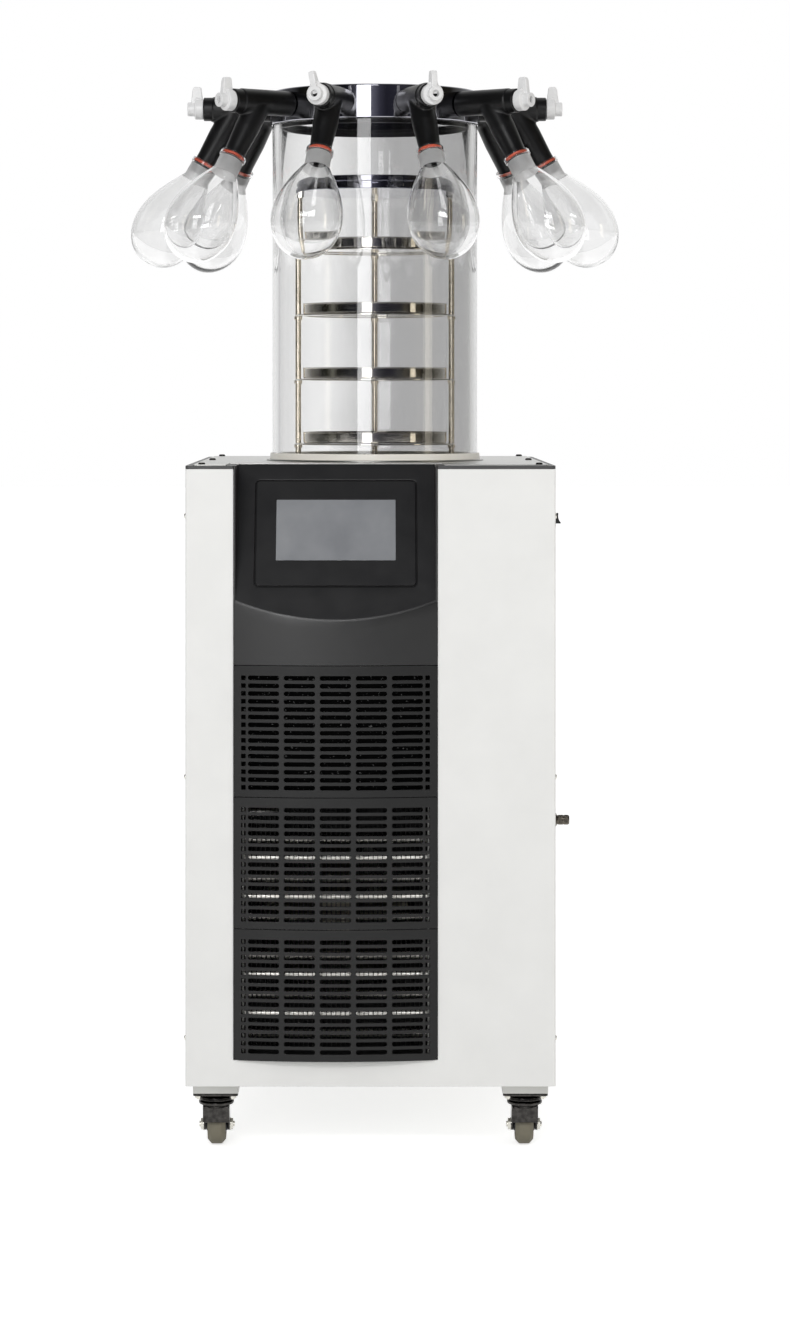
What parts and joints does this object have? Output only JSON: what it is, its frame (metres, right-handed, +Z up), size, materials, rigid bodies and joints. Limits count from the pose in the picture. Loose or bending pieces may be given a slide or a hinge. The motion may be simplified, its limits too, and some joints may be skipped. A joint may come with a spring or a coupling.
{
  "type": "freeze dryer",
  "caption": "Floor standing laboratory freeze dryer: a white cabinet on castors with a touch display, a clear vacuum chamber with sample trays, and a steel manifold carrying glass flasks.",
  "frame": {"origin": "on the floor, under the middle of the whole object's bounding box", "axes": "+Z up, the front with the display faces -Y, +X to the right seen from the front"},
  "size_m": [0.667, 0.6642, 1.3916],
  "materials": {
    "white_paint": "satin white powder coat",
    "pale_steel": "pale grey powder coat on folded steel",
    "black_plastic": "satin black moulded plastic",
    "screen_glass": "unlit grey touch display behind a clear cover",
    "brushed_steel": "finely brushed stainless steel",
    "rack_steel": "polished stainless steel",
    "mirror_steel": "mirror polished stainless steel",
    "aluminium": "thin aluminium fins and pressed fan blades",
    "black_paint": "semi-gloss black enamel",
    "dark_steel": "knurled dark plated steel",
    "dark_chrome": "dark bright plating on pressed steel",
    "wheel_rubber": "grey beige castor tread",
    "acrylic": "clear cast acrylic",
    "black_rubber": "smooth black rubber",
    "white_plastic": "white moulded plastic",
    "flask_glass": "clear laboratory glass, neck ground matt"
  },
  "bodies": {
    "cabinet": {"base_tray": "pale_steel", "front_panel": "white_paint", "rear_panel": "white_paint", "left_side_panel": "white_paint", "right_side_panel": "white_paint", "top_deck": "brushed_steel", "cold_trap": "brushed_steel", "compressor": "black_paint", "control_fascia": "black_plastic", "screen_bezel": "black_plastic", "touch_screen": "screen_glass", "lower_grille": "black_plastic", "middle_grille": "black_plastic", "upper_grille": "black_plastic", "condenser": "aluminium", "fan_frame": "black_paint", "switch_housing": "black_plastic", "drain_nozzle": "dark_steel", "power_inlet": "black_plastic", "chamber_cylinder": "acrylic", "rack_frame": "rack_steel", "sample_tray_1": "rack_steel", "sample_tray_2": "rack_steel", "sample_tray_3": "rack_steel", "sample_tray_4": "rack_steel", "manifold_lid": "mirror_steel", "valve_body_1": "black_rubber", "flask_1": "flask_glass", "valve_body_2": "black_rubber", "flask_2": "flask_glass", "valve_body_3": "black_rubber", "flask_3": "flask_glass", "valve_body_4": "black_rubber", "flask_4": "flask_glass", "valve_body_5": "black_rubber", "flask_5": "flask_glass", "valve_body_6": "black_rubber", "flask_6": "flask_glass", "valve_body_7": "black_rubber", "flask_7": "flask_glass", "valve_body_8": "black_rubber", "flask_8": "flask_glass"},
    "castor_front_left": {"castor_fork_front_left": "dark_chrome"},
    "wheel_front_left": {"castor_wheel_front_left": "wheel_rubber"},
    "castor_front_right": {"castor_fork_front_right": "dark_chrome"},
    "wheel_front_right": {"castor_wheel_front_right": "wheel_rubber"},
    "castor_rear_left": {"castor_fork_rear_left": "dark_chrome"},
    "wheel_rear_left": {"castor_wheel_rear_left": "wheel_rubber"},
    "castor_rear_right": {"castor_fork_rear_right": "dark_chrome"},
    "wheel_rear_right": {"castor_wheel_rear_right": "wheel_rubber"},
    "fan": {"fan_blade": "aluminium"},
    "rocker": {"switch_rocker": "black_plastic"},
    "knob_1": {"valve_knob_1": "white_plastic"},
    "knob_2": {"valve_knob_2": "white_plastic"},
    "knob_3": {"valve_knob_3": "white_plastic"},
    "knob_4": {"valve_knob_4": "white_plastic"},
    "knob_5": {"valve_knob_5": "white_plastic"},
    "knob_6": {"valve_knob_6": "white_plastic"},
    "knob_7": {"valve_knob_7": "white_plastic"},
    "knob_8": {"valve_knob_8": "white_plastic"}
  },
  "joints": [
    {"name": "swivel_front_left", "type": "hinge", "parent": "cabinet", "child": "castor_front_left", "pos_m": [-0.205, -0.25795, 0.06], "axis": [0, 0, 1], "continuous": true},
    {"name": "roll_front_left", "type": "hinge", "parent": "castor_front_left", "child": "wheel_front_left", "pos_m": [-0.205, -0.23995, 0.025], "axis": [1, 0, 0], "continuous": true},
    {"name": "swivel_front_right", "type": "hinge", "parent": "cabinet", "child": "castor_front_right", "pos_m": [0.193, -0.25795, 0.06], "axis": [0, 0, 1], "continuous": true},
    {"name": "roll_front_right", "type": "hinge", "parent": "castor_front_right", "child": "wheel_front_right", "pos_m": [0.193, -0.23995, 0.025], "axis": [1, 0, 0], "continuous": true},
    {"name": "swivel_rear_left", "type": "hinge", "parent": "cabinet", "child": "castor_rear_left", "pos_m": [-0.205, 0.24205, 0.06], "axis": [0, 0, 1], "continuous": true},
    {"name": "roll_rear_left", "type": "hinge", "parent": "castor_rear_left", "child": "wheel_rear_left", "pos_m": [-0.205, 0.26005, 0.025], "axis": [1, 0, 0], "continuous": true},
    {"name": "swivel_rear_right", "type": "hinge", "parent": "cabinet", "child": "castor_rear_right", "pos_m": [0.193, 0.24205, 0.06], "axis": [0, 0, 1], "continuous": true},
    {"name": "roll_rear_right", "type": "hinge", "parent": "castor_rear_right", "child": "wheel_rear_right", "pos_m": [0.193, 0.26005, 0.025], "axis": [1, 0, 0], "continuous": true},
    {"name": "fan_spin", "type": "hinge", "parent": "cabinet", "child": "fan", "pos_m": [-0.0505, -0.22415, 0.2923], "axis": [0, 1, 0], "continuous": true},
    {"name": "rocker_tilt", "type": "hinge", "parent": "cabinet", "child": "rocker", "pos_m": [0.23, -0.26795, 0.81], "axis": [0, 1, 0], "range_deg": [0, 30]},
    {"name": "valve_turn_1", "type": "hinge", "parent": "cabinet", "child": "knob_1", "pos_m": [-0.18955, 0.12977, 1.361], "axis": [-0.809, 0.5878, 0], "range_deg": [0, 180]},
    {"name": "valve_turn_2", "type": "hinge", "parent": "cabinet", "child": "knob_2", "pos_m": [-0.2343, -0.00795, 1.361], "axis": [-1, 0, 0], "range_deg": [0, 180]},
    {"name": "valve_turn_3", "type": "hinge", "parent": "cabinet", "child": "knob_3", "pos_m": [-0.18955, -0.14567, 1.361], "axis": [-0.809, -0.5878, 0], "range_deg": [0, 180]},
    {"name": "valve_turn_4", "type": "hinge", "parent": "cabinet", "child": "knob_4", "pos_m": [-0.0724, -0.23078, 1.361], "axis": [-0.309, -0.9511, 0], "range_deg": [-14, 166]},
    {"name": "valve_turn_5", "type": "hinge", "parent": "cabinet", "child": "knob_5", "pos_m": [0.0724, -0.23078, 1.361], "axis": [0.309, -0.9511, 0], "range_deg": [0, 180]},
    {"name": "valve_turn_6", "type": "hinge", "parent": "cabinet", "child": "knob_6", "pos_m": [0.18955, -0.14567, 1.361], "axis": [0.809, -0.5878, 0], "range_deg": [0, 180]},
    {"name": "valve_turn_7", "type": "hinge", "parent": "cabinet", "child": "knob_7", "pos_m": [0.2343, -0.00795, 1.361], "axis": [1, 0, 0], "range_deg": [0, 180]},
    {"name": "valve_turn_8", "type": "hinge", "parent": "cabinet", "child": "knob_8", "pos_m": [0.18955, 0.12977, 1.361], "axis": [0.809, 0.5878, 0], "range_deg": [0, 180]}
  ]
}
